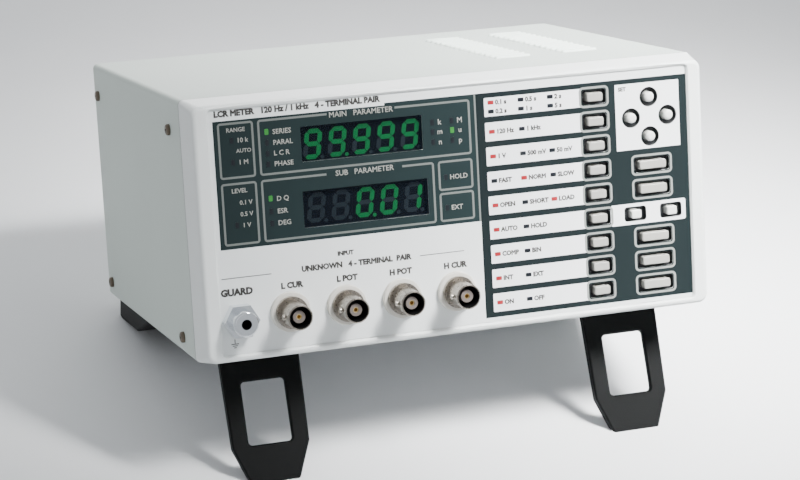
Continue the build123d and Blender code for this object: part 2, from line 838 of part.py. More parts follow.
rocker_plane = Plane(
    origin=(switch_x, rocker_axis_y, switch_z),
    x_dir=(0, cos(radians(rocker_rest)), sin(radians(rocker_rest))),
    z_dir=(1, 0, 0),
)
with BuildPart() as power_rocker:
    with BuildSketch(rocker_plane):
        with BuildLine():
            Polyline((-2.5, -4.0), (1.8, -7.4), (4.6, -7.4), (3.2, 0), (4.6, 7.4), (1.8, 7.4),
                     (-2.5, 4.0), close=True)
        make_face()
    extrude(amount=rocker_half, both=True)
    with BuildSketch(side_plane(switch_x)):
        with Locations((rocker_axis_y, switch_z)):
            Circle(axle_radius)
    extrude(amount=rocker_half + 1.1, both=True)

connector_flange = (31.0, 12.5)
connector_flange_thick = 0.8
collar_length = 4.6
pin_pitch = 2.77
pin_rows = ((1.4, 5), (-1.4, 4))
with BuildPart() as interface_connector:
    with BuildSketch(front_plane(rear_face)):
        with Locations((connector_x, connector_z)):
            RectangleRounded(*connector_flange, 1.0)
            with GridLocations(jack_post_spread, 0, 2, 1):
                Circle(post_thread + cut_gap, mode=Mode.SUBTRACT)
    extrude(amount=-connector_flange_thick)
    with BuildSketch(front_plane(rear_face)):
        with Locations((connector_x, connector_z)):
            Rectangle(*connector_body)
    extrude(amount=10.0)
    with BuildSketch(front_plane(rear_face + connector_flange_thick, connector_x, connector_z)):
        with BuildLine():
            Polyline((-8.2, 3.9), (8.2, 3.9), (7.0, -3.9), (-7.0, -3.9), close=True)
        make_face()
        offset(amount=0.7)
    extrude(amount=-collar_length)
    with BuildSketch(front_plane(rear_face + connector_flange_thick + collar_length)):
        for row_height, count in pin_rows:
            with Locations((connector_x, connector_z + row_height)):
                with GridLocations(pin_pitch, 0, count, 1):
                    Circle(0.55)
    extrude(amount=4.0, mode=Mode.SUBTRACT)
    # jack posts that hold the plug's screws
    with BuildSketch(front_plane(rear_face + connector_flange_thick)):
        with Locations((connector_x, connector_z)):
            with GridLocations(jack_post_spread, 0, 2, 1):
                RegularPolygon(2.7, 6)
                Circle(1.2, mode=Mode.SUBTRACT)
    extrude(amount=-collar_length)
    with BuildSketch(front_plane(rear_face + connector_flange_thick)):
        with Locations((connector_x, connector_z)):
            with GridLocations(jack_post_spread, 0, 2, 1):
                Circle(post_thread)
    extrude(amount=6.0)

# ================= legs and feet =================
down_leg = (-sin(lean), -cos(lean))
forward_leg = (-cos(lean), sin(lean))


def leg_point(along, forward):
    """A point of the leg's side view: distance from the pivot along it and towards its front."""
    return (pivot_y + down_leg[0] * along + forward_leg[0] * forward,
            pivot_z + down_leg[1] * along + forward_leg[1] * forward)


def leg_face_plane(x, forward):
    """Plane parallel to the leg's front face: local X across it, local Y up along it."""
    y, z = leg_point(0, forward)
    return Plane(origin=(x, y, z), x_dir=(1, 0, 0), z_dir=(0, forward_leg[0], forward_leg[1]))


window_top = 11.4
window_bottom = 36.3
window_half = 8.9
web_thick = 2.2
leg_back = leg_front - leg_thick
pocket_top = 7.0
pocket_tip = 4.5
hinge_radius = 2.5
leg_lug_inner = 9.8
leg_lug_outer = 12.8
pin_half = 13.0


def leg_outline(inset, top, tip):
    """Outline of a leg seen square on: straight sides that close in a little, then a taper."""
    Polyline((inset - leg_half, top), (leg_half - inset, top), (leg_taper_half - inset, -leg_taper_start),
             (leg_tip_half - inset, -tip), (inset - leg_tip_half, -tip),
             (inset - leg_taper_half, -leg_taper_start), close=True)


def leg(x):
    """A folding leg: a plate with a window, a shallow hollow back and two hinge lugs."""
    with BuildPart() as leg_part:
        with BuildSketch(leg_face_plane(x, leg_front)):
            with BuildLine():
                leg_outline(0, leg_top, leg_tip)
            make_face()
        extrude(amount=-leg_thick)
        with BuildSketch(leg_face_plane(x, leg_front + 1)):
            with Locations((0, -(window_top + window_bottom) / 2)):
                RectangleRounded(2 * window_half, window_bottom - window_top, 1.6)
        extrude(amount=-(leg_thick + 2), mode=Mode.SUBTRACT)
        towards_front = Axis((0, 0, 0), (0, forward_leg[0], forward_leg[1]))
        front_edges = leg_part.faces().sort_by(towards_front)[-1].edges()
        chamfer(front_edges.filter_by(Axis.X, reverse=True), 0.6)
        # heel of the tip that the floor cuts off
        with BuildSketch(leg_face_plane(x, leg_front)):
            with Locations((0, -leg_tip - 3)):
                Rectangle(2 * leg_tip_half, 6)
        extrude(amount=-leg_thick)
        with BuildSketch(leg_face_plane(x, leg_front - web_thick)):
            with BuildLine():
                leg_outline(leg_wall, -pocket_top, leg_tip - pocket_tip)
            make_face()
        extrude(amount=-leg_thick, mode=Mode.SUBTRACT)
        for edge in (-1, 1):
            with BuildSketch(side_plane(x + edge * leg_lug_inner)):
                with Locations((pivot_y, pivot_z)):
                    Circle(hinge_radius)
                with BuildLine():
                    Polyline(leg_point(-1.3, leg_back + 0.2), leg_point(6.0, leg_back + 0.2),
                             leg_point(1.7, -1.8), leg_point(-2.4, 0.6), close=True)
                make_face()
            extrude(amount=edge * (leg_lug_outer - leg_lug_inner))
        with BuildSketch(side_plane(x)):
            with Locations((pivot_y, pivot_z)):
                Circle(pin_radius + pin_clearance)
        extrude(amount=leg_half, both=True, mode=Mode.SUBTRACT)
        split(bisect_by=floor_plane, keep=Keep.TOP)
    return leg_part


leg_left = leg(-leg_x)
leg_right = leg(leg_x)

plate_top = cover_wall
plate_bottom = -0.2
bracket_half = 16.0
bracket_length = 30.0
bracket_middle = 45.5
knuckle_inner = 4.5
knuckle_outer = 9.5
with BuildPart() as leg_brackets:
    for side in (-1, 1):
        with BuildSketch(Plane.XY.offset(plate_bottom)):
            with Locations((side * leg_x, bracket_middle)):
                RectangleRounded(2 * bracket_half, bracket_length, 2.0)
        extrude(amount=plate_top - plate_bottom)
        for edge in (-1, 1):
            with BuildSketch(side_plane(side * leg_x + edge * knuckle_inner)):
                with Locations((pivot_y, pivot_z)):
                    Circle(hinge_radius)
                with Locations((pivot_y + 1.0, (pivot_z + plate_bottom) / 2)):
                    Rectangle(2 * hinge_radius, plate_bottom - pivot_z)
            extrude(amount=edge * (knuckle_outer - knuckle_inner))
    with BuildSketch(side_plane(0)):
        with Locations((pivot_y, pivot_z)):
            Circle(pin_radius)
    extrude(amount=case_width, both=True, mode=Mode.SUBTRACT)
    for side in (-1, 1):
        for y in bracket_screw_y:
            with Locations((side * leg_x, y, plate_bottom + 0.8)):
                Cone(3.05, 1.5, 1.6, mode=Mode.SUBTRACT)

with BuildPart() as leg_pins:
    for side in (-1, 1):
        with BuildSketch(side_plane(side * leg_x)):
            with Locations((pivot_y, pivot_z)):
                Circle(pin_radius)
        extrude(amount=pin_half, both=True)

foot_front_low = 127.0
foot_front_high = 98.0
foot_seat = 4.6
foot_edge_round = 1.0
foot_pad = (83.0, 126.0, 19.0, 48.0)
foot_bore = 3.2
foot_screw_head = 2.8
foot_screw_head_height = 2.0
foot_screw_places = [spot for spot in bottom_screw_spots if spot[1] > 100]
with BuildPart() as rear_feet:
    for side in (-1, 1):
        foot_middle = side * (foot_outer - foot_width / 2)
        with BuildSketch(side_plane(foot_middle)):
            with BuildLine():
                Polyline((foot_front_high, 0), (foot_front_low, -foot_height), (foot_rear + 3, -foot_height),
                         (foot_rear, 0), close=True)
            make_face()
        extrude(amount=foot_width / 2, both=True)
    fillet(rear_feet.edges().filter_by(Axis.X, reverse=True).filter_by(
        lambda edge: edge.center().Z < -1.5), foot_edge_round)
    # pad that fills the step between the cover's lips and the chassis
    with BuildSketch(Plane.XY):
        for side in (-1, 1):
            with Locations((side * foot_pad[0], foot_pad[1])):
                Rectangle(*foot_pad[2:])
    extrude(amount=plate_top)
    with BuildSketch(Plane.XY.offset(-foot_height - 1)):
        with Locations(*foot_screw_places):
            Circle(foot_bore)
    extrude(amount=1 + foot_height - foot_seat, mode=Mode.SUBTRACT)
    with BuildSketch(Plane.XY.offset(-foot_height)):
        with Locations(*foot_screw_places):
            Circle(screw_shank + screw_gap)
    extrude(amount=foot_height + 3, mode=Mode.SUBTRACT)
    split(bisect_by=floor_plane, keep=Keep.TOP)

with BuildPart() as foot_screws:
    for x, y in bottom_screw_spots:
        if (x, y) in foot_screw_places:
            with BuildSketch(Plane.XY.offset(-foot_seat - foot_screw_head_height)):
                with Locations((x, y)):
                    Circle(foot_screw_head)
            extrude(amount=foot_screw_head_height)
            seat = -foot_seat
        else:
            with BuildSketch(Plane.XY.offset(plate_bottom)):
                with Locations((x, y)):
                    Circle(2.95)
            with BuildSketch(Plane.XY.offset(plate_top)):
                with Locations((x, y)):
                    Circle(screw_shank)
            loft()
            seat = plate_top
        with BuildSketch(Plane.XY.offset(seat)):
            with Locations((x, y)):
                Circle(screw_shank)
        extrude(amount=6.0 - seat)

# ================= standing pose and export =================
pieces = {
    "bottom_chassis": bottom_chassis, "top_cover": top_cover, "front_bezel": front_bezel,
    "front_panel": front_panel, "panel_film": panel_film, "display_windows": display_windows,
    "key_guide": key_guide, "rear_panel": rear_panel, "cover_screws": cover_screws,
    "rear_screws": rear_screws, "bnc_shells": bnc_shells, "bnc_insulators": bnc_insulators,
    "bnc_contacts": bnc_contacts, "bnc_bushings": bnc_bushings, "jack_nuts": jack_nuts,
    "guard_socket": guard_socket, "display_modules": display_modules, "red_leds": red_leds,
    "dark_leds": dark_leds, "green_leds": green_leds, "key_switches": key_switches,
    "front_board": front_board, "main_board": main_board, "board_standoffs": board_standoffs,
    "transformer_core": transformer_core, "transformer_winding": transformer_winding,
    "heat_sink": heat_sink, "filter_capacitors": filter_capacitors, "mains_inlet": mains_inlet,
    "inlet_pins": inlet_pins, "fuse_drawer": fuse_drawer, "switch_frame": switch_frame,
    "power_rocker": power_rocker, "interface_connector": interface_connector,
    "leg_left": leg_left, "leg_right": leg_right, "leg_brackets": leg_brackets,
    "leg_pins": leg_pins, "rear_feet": rear_feet, "foot_screws": foot_screws,
    **keys,
}

# The case leans back by the tilt, the leg tips and the heels of the rear feet lie on Z = 0,
# and the origin is at the middle of the whole footprint.
turned = {name: Rot(-tilt, 0, 0) * piece.part for name, piece in pieces.items()}
lowest_y = min(solid.bounding_box().min.Y for solid in turned.values())
highest_y = max(solid.bounding_box().max.Y for solid in turned.values())
standing = Pos(0, -(lowest_y + highest_y) / 2, floor_depth)

os.makedirs("parts", exist_ok=True)
for name, solid in turned.items():
    placed = standing * solid
    placed.label = name
    export_step(placed, f"parts/{name}.step")
print("nodes", len(pieces), "moved back", -(lowest_y + highest_y) / 2, "raised", floor_depth)
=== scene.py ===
"""Looks for the bench LCR meter: camera, studio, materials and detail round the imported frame."""
import json
import math

import bmesh
import bpy
from mathutils import Matrix, Vector


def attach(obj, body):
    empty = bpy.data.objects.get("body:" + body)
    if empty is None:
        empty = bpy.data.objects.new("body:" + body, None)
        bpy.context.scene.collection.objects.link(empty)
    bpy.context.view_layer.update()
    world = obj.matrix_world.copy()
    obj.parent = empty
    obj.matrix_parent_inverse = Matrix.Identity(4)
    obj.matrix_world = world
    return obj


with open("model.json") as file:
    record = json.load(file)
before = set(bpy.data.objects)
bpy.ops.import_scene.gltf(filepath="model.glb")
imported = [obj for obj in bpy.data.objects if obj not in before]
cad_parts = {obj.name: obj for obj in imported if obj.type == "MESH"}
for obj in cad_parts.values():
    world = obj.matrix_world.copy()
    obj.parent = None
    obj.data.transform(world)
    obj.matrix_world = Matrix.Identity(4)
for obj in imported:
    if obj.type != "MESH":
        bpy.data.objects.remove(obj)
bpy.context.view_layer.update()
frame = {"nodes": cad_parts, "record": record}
nodes = frame["nodes"]
mounts = {mount["name"]: mount for mount in frame["record"]["mounts"]}
MM = 0.001

# ================= the case's own frame =================
# Millimetres, X right, Y from the front face to the rear, Z up, underside at Z = 0.
CASE_WIDTH = 210.0
CASE_HEIGHT = 101.0
CASE_CORNER = 2.2
REAR_FACE = 162.0
JACK_X = -70.1
JACK_Z = 18.4
JACK_PITCH = 22.4
JACK_COUNT = 4
JACK_REACH = 13.0
GUARD_X = -90.0
GUARD_Z = 17.4

# its axes are recovered from the first test jack, whose mount is at the front of its shell
JACK_FRONT = Vector((JACK_X, -JACK_REACH, JACK_Z))
jack_mount = mounts["test_jack_1"]
panel_out = Vector(jack_mount["axis"]).normalized()
case_turn = Matrix((
    (1.0, 0.0, 0.0),
    (0.0, -panel_out.y, panel_out.z),
    (0.0, -panel_out.z, -panel_out.y),
))
CASE = Matrix.Translation(jack_mount["pos_m"]) @ (case_turn * MM).to_4x4() @ Matrix.Translation(-JACK_FRONT)

# ---- front panel ----
FILM_FACE = 1.1
MODULE_FACE = 3.4
FIRST_ROW_Z = 88.5
ROW_PITCH = 9.6
ROW_Z = [FIRST_ROW_Z - ROW_PITCH * row for row in range(9)]
WIDE_ROWS = (3, 4, 6, 7, 8)
SMALL_ROW = 5
ROW_KEY_X = 57.85
WIDE_KEY_X = 81.4
SMALL_KEY_X = (73.6, 88.9)
ARROWS = ((81.1, 86.4), (81.1, 70.8), (73.3, 78.6), (88.9, 78.6))
ARROW_WELL = 3.9
WELL_HEIGHT = 5.8
WELL_CORNER = 1.2
ROW_WELL = 10.3
WIDE_WELL = 15.1
SMALL_WELL = 9.4
# (X, Z, width, height) of each display window
MAIN_WINDOW = (-37.55, 81.5, 48.3, 13.4)
SUB_WINDOW = (-37.3, 56.6, 50.0, 14.0)
WINDOW_CORNER = 0.2
STRIP_LAMP_X = (14.9, 27.3, 39.5)
# lamps in the first line of each strip
STRIP_LAMP_COUNTS = (3, 2, 3, 3, 3, 2, 2, 2, 2)
# half the distance between the two lines of the first strip
FIRST_STRIP_LINES = 1.75


# ================= materials =================
RAMP_START = 0.3
RAMP_END = 0.7
DRIFT_SCALE = 22.0
ROUGH_SPREAD = 0.05
GLOW_GRAIN = 700.0
GLOW_SHADE = 0.85
GLOW_ROUGHNESS = 0.35
WINDOW_GRAIN = 300.0
ACRYLIC_IOR = 1.49
# painted highlight on the louvre hoods: how much lighter they are painted, and the millimetres above the
# case's top between which the painted highlight comes in
HOOD_HIGHLIGHT_GAIN = 1.35
HOOD_FOOT = 0.05
HOOD_SHOULDER = 0.35


def shader(name):
    """A new node material; returns it with its node tree and principled shader."""
    material = bpy.data.materials.new(name)
    material.use_nodes = True
    tree = material.node_tree
    return material, tree, tree.nodes["Principled BSDF"]


def noise(tree, scale, detail, roughness=0.5, stretch=(1, 1, 1)):
    """Noise in the object's own metres, optionally stretched along an axis."""
    coords = tree.nodes.new("ShaderNodeTexCoord")
    mapping = tree.nodes.new("ShaderNodeMapping")
    mapping.inputs["Scale"].default_value = stretch
    tree.links.new(coords.outputs["Object"], mapping.inputs["Vector"])
    texture = tree.nodes.new("ShaderNodeTexNoise")
    texture.inputs["Scale"].default_value = scale
    texture.inputs["Detail"].default_value = detail
    texture.inputs["Roughness"].default_value = roughness
    tree.links.new(mapping.outputs["Vector"], texture.inputs["Vector"])
    return texture


def ramp(tree, source, low, high):
    """Turns a 0..1 value into a colour between low and high."""
    node = tree.nodes.new("ShaderNodeValToRGB")
    node.color_ramp.elements[0].position = RAMP_START
    node.color_ramp.elements[1].position = RAMP_END
    node.color_ramp.elements[0].color = (*low, 1)
    node.color_ramp.elements[1].color = (*high, 1)
    tree.links.new(source, node.inputs["Fac"])
    return node.outputs["Color"]


def span(tree, source, low, high):
    """Maps a 0..1 value to a range."""
    node = tree.nodes.new("ShaderNodeMapRange")
    node.inputs["To Min"].default_value = low
    node.inputs["To Max"].default_value = high
    tree.links.new(source, node.inputs["Value"])
    return node.outputs["Result"]


def bump(tree, surface, source, distance):
    """Relief of the given height in metres, from a 0..1 value."""
    node = tree.nodes.new("ShaderNodeBump")
    node.inputs["Strength"].default_value = 1.0
    node.inputs["Distance"].default_value = distance
    tree.links.new(source, node.inputs["Height"])
    tree.links.new(node.outputs["Normal"], surface.inputs["Normal"])


def shade(colour, factor):
    """A colour made lighter or darker."""
    return tuple(min(1.0, channel * factor) for channel in colour)


def finish(name, colour, roughness, metallic=0.0, grain=900.0, depth=0.00002, spread=0.04,
           stretch=(1, 1, 1), specular=0.5):
    """The common surface: slow colour drift, roughness variation and a fine bump."""
    material, tree, surface = shader(name)
    slow = noise(tree, DRIFT_SCALE, 3.0)
    tree.links.new(
        ramp(tree, slow.outputs["Fac"], shade(colour, 1 - spread), shade(colour, 1 + spread)),
        surface.inputs["Base Color"])
    fine = noise(tree, grain, 3.0, 0.6, stretch)
    tree.links.new(
        span(tree, fine.outputs["Fac"], roughness - ROUGH_SPREAD, roughness + ROUGH_SPREAD),
        surface.inputs["Roughness"])
    bump(tree, surface, fine.outputs["Fac"], depth)
    surface.inputs["Metallic"].default_value = metallic
    surface.inputs["Specular IOR Level"].default_value = specular
    return material


def paint_highlight_above(material, height, gain):
    """Paints a highlight on whatever stands above a height of the case frame, as a lighter shade of its
    colour.
    """
    tree = material.node_tree
    surface = tree.nodes["Principled BSDF"]
    plain = surface.inputs["Base Color"].links[0].from_socket
    up = (CASE.to_3x3() @ Vector((0, 0, 1))).normalized()
    level = (CASE @ Vector((0, 0, height))).dot(up)
    coords = tree.nodes.new("ShaderNodeTexCoord")
    along = tree.nodes.new("ShaderNodeVectorMath")
    along.operation = "DOT_PRODUCT"
    along.inputs[1].default_value = up
    tree.links.new(coords.outputs["Object"], along.inputs[0])
    raised = span(tree, along.outputs["Value"], 1.0, gain)
    raised.node.inputs["From Min"].default_value = level + HOOD_FOOT * MM
    raised.node.inputs["From Max"].default_value = level + HOOD_SHOULDER * MM
    scaled = tree.nodes.new("ShaderNodeVectorMath")
    scaled.operation = "SCALE"
    tree.links.new(plain, scaled.inputs[0])
    tree.links.new(raised, scaled.inputs["Scale"])
    tree.links.new(scaled.outputs["Vector"], surface.inputs["Base Color"])


def glow(name, colour, strength):
    """A lamp or display bar that gives a little light of its own."""
    material, tree, surface = shader(name)
    slow = noise(tree, GLOW_GRAIN, 2.0)
    mottled = ramp(tree, slow.outputs["Fac"], shade(colour, GLOW_SHADE), colour)
    tree.links.new(mottled, surface.inputs["Base Color"])
    surface.inputs["Emission Color"].default_value = (*colour, 1)
    surface.inputs["Emission Strength"].default_value = strength
    surface.inputs["Roughness"].default_value = GLOW_ROUGHNESS
    return material


def smoked(name, tint, alpha, specular):
    """Dark see-through acrylic with a nearly polished face."""
    material, tree, surface = shader(name)
    fine = noise(tree, WINDOW_GRAIN, 2.0)
    tree.links.new(span(tree, fine.outputs["Fac"], 0.05, 0.09), surface.inputs["Roughness"])
    surface.inputs["Base Color"].default_value = (*tint, 1)
    surface.inputs["Specular IOR Level"].default_value = specular
    surface.inputs["Alpha"].default_value = alpha
    surface.inputs["IOR"].default_value = ACRYLIC_IOR
    return material


COVER = finish("cover_paint", (0.60, 0.67, 0.62), 0.52, grain=1500.0, depth=0.00003, spread=0.015)
# painted highlight: the louvre hoods, the only painted metal that stands above the case's flat top, are
# painted lighter for the light their blades catch
paint_highlight_above(COVER, CASE_HEIGHT, HOOD_HIGHLIGHT_GAIN)
BEZEL = finish("bezel_plastic", (0.84, 0.87, 0.855), 0.38, grain=2200.0, depth=0.000015, spread=0.012)
FILM = finish("film_light", (0.84, 0.87, 0.865), 0.42, grain=2600.0, depth=0.000008, spread=0.01)
PANEL = finish("panel_plate", (0.018, 0.02, 0.021), 0.45)
STEEL = finish("plated_steel", (0.6, 0.61, 0.62), 0.35, metallic=1.0, grain=500.0, stretch=(1, 12, 1))
SCREW = finish("dark_screw", (0.16, 0.13, 0.10), 0.38, metallic=0.9, grain=1800.0)
NICKEL = finish("nickel", (0.33, 0.30, 0.26), 0.28, metallic=1.0, grain=900.0, depth=0.000006)
CHROME = finish("bright_chrome", (0.74, 0.77, 0.80), 0.13, metallic=1.0, grain=900.0, depth=0.000004)
INSULATOR = finish("insulator", (0.17, 0.145, 0.13), 0.4, specular=0.3)
GOLD = finish("gold_contact", (0.75, 0.55, 0.25), 0.25, metallic=1.0)
BUSHING = finish("bushing_plastic", (0.66, 0.64, 0.58), 0.45)
MODULE = finish("module_plastic", (0.004, 0.005, 0.007), 0.4, specular=0.15)
BLACK = finish("black_plastic", (0.007, 0.008, 0.009), 0.45, grain=1300.0, depth=0.00003)
GLOSS_BLACK = finish("rocker_plastic", (0.015, 0.015, 0.016), 0.2, grain=600.0)
LEG = finish("leg_plastic", (0.0025, 0.003, 0.003), 0.5, grain=1600.0, depth=0.00004, specular=0.1)
# painted shade: flat black for the sleeves that stand in for the shade deep inside the jacks and the guard
# socket
SHADE_LINER = finish("socket_painted_shade", (0.004, 0.004, 0.004), 0.55, grain=900.0, specular=0.2)
KEY = finish("key_plastic", (0.36, 0.355, 0.325), 0.4, grain=1800.0, depth=0.00001)
# painted highlight: the arrow keys and the two small keys take this lighter copy of the key plastic, standing
# in for the bright highlight on their caps
KEY_PAINTED_HIGHLIGHT = finish("key_plastic_painted_highlight", (0.80, 0.80, 0.76), 0.36, grain=1800.0, depth=0.00001)
BOARD = finish("circuit_board", (0.02, 0.13, 0.06), 0.35, grain=700.0)
BRASS = finish("brass_post", (0.7, 0.52, 0.24), 0.3, metallic=1.0)
CORE = finish("core_steel", (0.25, 0.25, 0.27), 0.5, metallic=0.8, grain=300.0, stretch=(1, 30, 1))
WINDING = finish("copper_winding", (0.45, 0.25, 0.06), 0.4, grain=400.0, stretch=(1, 1, 20))
SINK = finish("sink_aluminium", (0.68, 0.69, 0.7), 0.35, metallic=1.0, stretch=(1, 1, 0.1))
SLEEVE = finish("capacitor_sleeve", (0.02, 0.03, 0.12), 0.3)
WINDOW = smoked("smoked_window", (0.005, 0.008, 0.014), alpha=0.32, specular=0.12)
RED_LAMP = glow("red_lamp", (0.31, 0.011, 0.017), 0.08)
DARK_LAMP = finish("dark_lamp", (0.010, 0.012, 0.015), 0.3, specular=0.25)
GREEN_LAMP = glow("green_lamp", (0.02, 0.18, 0.024), 0.25)
LIT = glow("lit_segment", (0.005, 0.23, 0.055), 0.75)
UNLIT = finish("unlit_segment", (0.034, 0.052, 0.060), 0.4)
SHADOW_LINE = finish("shadow_line", (0.10, 0.105, 0.10), 0.6)

# every node not named here is a row key or a wide key
cad_finishes = {
    "bottom_chassis": STEEL, "top_cover": COVER, "front_bezel": BEZEL, "front_panel": PANEL,
    "panel_film": FILM, "display_windows": WINDOW, "key_guide": BLACK, "rear_panel": COVER,
    "cover_screws": SCREW, "rear_screws": SCREW, "bnc_shells": NICKEL, "bnc_insulators": INSULATOR,
    "bnc_contacts": GOLD, "bnc_bushings": BUSHING, "jack_nuts": NICKEL, "guard_socket": CHROME,
    "display_modules": MODULE, "red_leds": RED_LAMP, "dark_leds": DARK_LAMP,
    "green_leds": GREEN_LAMP, "key_switches": BLACK, "front_board": BOARD, "main_board": BOARD,
    "board_standoffs": BRASS, "transformer_core": CORE, "transformer_winding": WINDING,
    "heat_sink": SINK, "filter_capacitors": SLEEVE, "mains_inlet": BLACK, "inlet_pins": NICKEL,
    "fuse_drawer": BLACK, "switch_frame": BLACK, "power_rocker": GLOSS_BLACK,
    "interface_connector": NICKEL, "leg_left": LEG, "leg_right": LEG, "leg_brackets": LEG,
    "leg_pins": STEEL, "rear_feet": LEG, "foot_screws": SCREW, "key_up": KEY_PAINTED_HIGHLIGHT,
    "key_down": KEY_PAINTED_HIGHLIGHT, "key_left": KEY_PAINTED_HIGHLIGHT, "key_right": KEY_PAINTED_HIGHLIGHT,
    "key_small_left": KEY_PAINTED_HIGHLIGHT, "key_small_right": KEY_PAINTED_HIGHLIGHT,
}
for name, node in nodes.items():
    material = cad_finishes.get(name, KEY)
    if not node.material_slots:
        node.data.materials.append(material)
    for slot in node.material_slots:
        slot.material = material


# ================= printed front =================
def screen_ink(name, colour, roughness=0.42, spread=0.02, specular=0.5):
    """Screen-printed ink: a very fine grain with hardly any relief."""
    return finish(name, colour, roughness, grain=2600.0, depth=0.000006, spread=spread, specular=specular)


INK_SLATE = screen_ink("ink_slate", (0.010, 0.0155, 0.0165), 0.4, spread=0.03, specular=0.12)
INK_NIGHT = screen_ink("ink_night", (0.012, 0.0225, 0.0235), 0.4, spread=0.03, specular=0.2)
INK_WHITE = screen_ink("ink_white", (0.93, 0.95, 0.96), spread=0.01)
INK_GREY = screen_ink("ink_grey", (0.15, 0.165, 0.155))
INK_LINE = screen_ink("ink_line", (0.25, 0.265, 0.25))
INK_PALE = screen_ink("ink_pale", (0.33, 0.33, 0.30))
INK_BROWN = screen_ink("ink_brown", (0.040, 0.037, 0.033))

# Each ink layer is one step thicker than the one below, so it stands proud of it.
INK_STEP = 0.04
FIELD_LAYER = 1
LINE_LAYER = 2
WORD_LAYER = 3
HEADER_LAYER = 4

# Drawing plane: drawing X is case X, drawing Y is case Z, drawing Z points out of the panel.
DRAWING = Matrix(((1, 0, 0, 0), (0, 0, -1, 0), (0, 1, 0, 0), (0, 0, 0, 1)))


def panel_place(depth):
    """Takes a drawing in millimetres to the plane at a case depth, in the part's own frame."""
    return CASE @ Matrix.Translation((0, depth, 0)) @ DRAWING


def piece(name, mesh, material, body):
    """A finished mesh as a piece that rides on a body."""
    mesh.materials.clear()
    mesh.materials.append(material)
    made = bpy.data.objects.new(name, mesh)
    bpy.context.scene.collection.objects.link(made)
    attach(made, body)


def rounded(x, z, width, height, radius, steps=5):
    """Outline of a rectangle with round corners."""
    radius = min(radius, width / 2, height / 2)
    points = []
    for corner in range(4):
        along_x, along_z = ((1, 1), (-1, 1), (-1, -1), (1, -1))[corner]
        centre = (x + along_x * (width / 2 - radius), z + along_z * (height / 2 - radius))
        for step in range(steps + 1):
            angle = math.pi / 2 * (corner + step / steps)
            points.append((centre[0] + radius * math.cos(angle), centre[1] + radius * math.sin(angle)))
    return points


def disc(x, z, radius, steps=40):
    """Outline of a round shape."""
    angles = [2 * math.pi * step / steps for step in range(steps)]
    return [(x + radius * math.cos(angle), z + radius * math.sin(angle)) for angle in angles]


def box_outline(left, right, bottom, top):
    """Outline of a rectangle with sharp corners."""
    return [(left, bottom), (right, bottom), (right, top), (left, top)]


def frame_outlines(left, right, bottom, top, line, radius):
    """A rounded frame of a given line width, as an outer and an inner outline."""
    x, z = (left + right) / 2, (bottom + top) / 2
    width, height = right - left, top - bottom
    return [rounded(x, z, width, height, radius),
            rounded(x, z, width - 2 * line, height - 2 * line, max(radius - line, 0.1))]


def filled(outlines, thickness):
    """A flat mesh between outlines; an outline inside another one is a hole."""
    curve = bpy.data.curves.new("outline", "CURVE")
    curve.dimensions = "2D"
    curve.fill_mode = "BOTH"
    curve.extrude = thickness / 2
    for points in outlines:
        spline = curve.splines.new("POLY")
        spline.points.add(len(points) - 1)
        for point, (x, z) in zip(spline.points, points):
            point.co = (x, z, 0, 1)
        spline.use_cyclic_u = True
    helper = bpy.data.objects.new("outline", curve)
    mesh = bpy.data.meshes.new_from_object(helper)
    bpy.data.objects.remove(helper)
    bpy.data.curves.remove(curve)
    return mesh


def ink(name, outlines, material, layer):
    """Ink on the film, as thick as its layer."""
    thickness = INK_STEP * layer
    mesh = filled(outlines, thickness)
    mesh.transform(panel_place(FILM_FACE - thickness / 2))
    piece(name, mesh, material, "case")


# a font's capitals are this much of its size
CAPITAL_HEIGHT = 0.72
# how far a legend's strokes are widened, as a share of its height
THIN = 0.022
MEDIUM = 0.06
BOLD = 0.08
BOLDEST = 0.085


def lettering(name, entries, material, layer, place=None, weight=THIN):
    """Short generic legends: (text, x, z, height, alignment) as one mesh, on the film unless placed."""
    thickness = INK_STEP * layer
    joined = bmesh.new()
    for text, x, z, height, align in entries:
        curve = bpy.data.curves.new("legend", "FONT")
        curve.body = text
        curve.size = height / CAPITAL_HEIGHT
        curve.align_x = align
        curve.resolution_u = 2
        curve.bevel_depth = height * weight
        curve.bevel_resolution = 0
        curve.extrude = max(thickness / 2 - curve.bevel_depth, 0.0)
        helper = bpy.data.objects.new("legend", curve)
        mesh = bpy.data.meshes.new_from_object(helper)
        mesh.transform(Matrix.Translation((x, z - height / 2, 0)))
        joined.from_mesh(mesh)
        bpy.data.objects.remove(helper)
        bpy.data.curves.remove(curve)
        bpy.data.meshes.remove(mesh)
    mesh = bpy.data.meshes.new(name)
    joined.to_mesh(mesh)
    joined.free()
    mesh.transform(place or panel_place(FILM_FACE - thickness / 2))
    piece(name, mesh, material, "case")


# ---- lamps: lying ones in the label strips, upright ones in the display field ----
STRIP_LAMP = (2.4, 1.5)
COLUMN_LAMP = (1.5, 2.2)
LAMP_CORNER = 0.3
LAMP_LAP = 0.1
# (X, each Z) of the lamp columns in the display field
LAMP_COLUMNS = (
    (-74.9, (87.6, 83.5, 79.4, 75.3, 62.3, 57.4, 52.8)),
    (-88.5, (85.6, 77.3, 53.5)),
    (-9.2, (84.9, 81.2, 77.3)),
    (-1.3, (84.9, 81.2, 77.3)),
    (-4.8, (63.2, 51.3)),
)


def lamp_hole(x, z, size):
    """Hole in the ink over a lamp; the ink laps a little over the lamp's edge."""
    width, height = size
    return rounded(x, z, width - LAMP_LAP, height - LAMP_LAP, LAMP_CORNER)


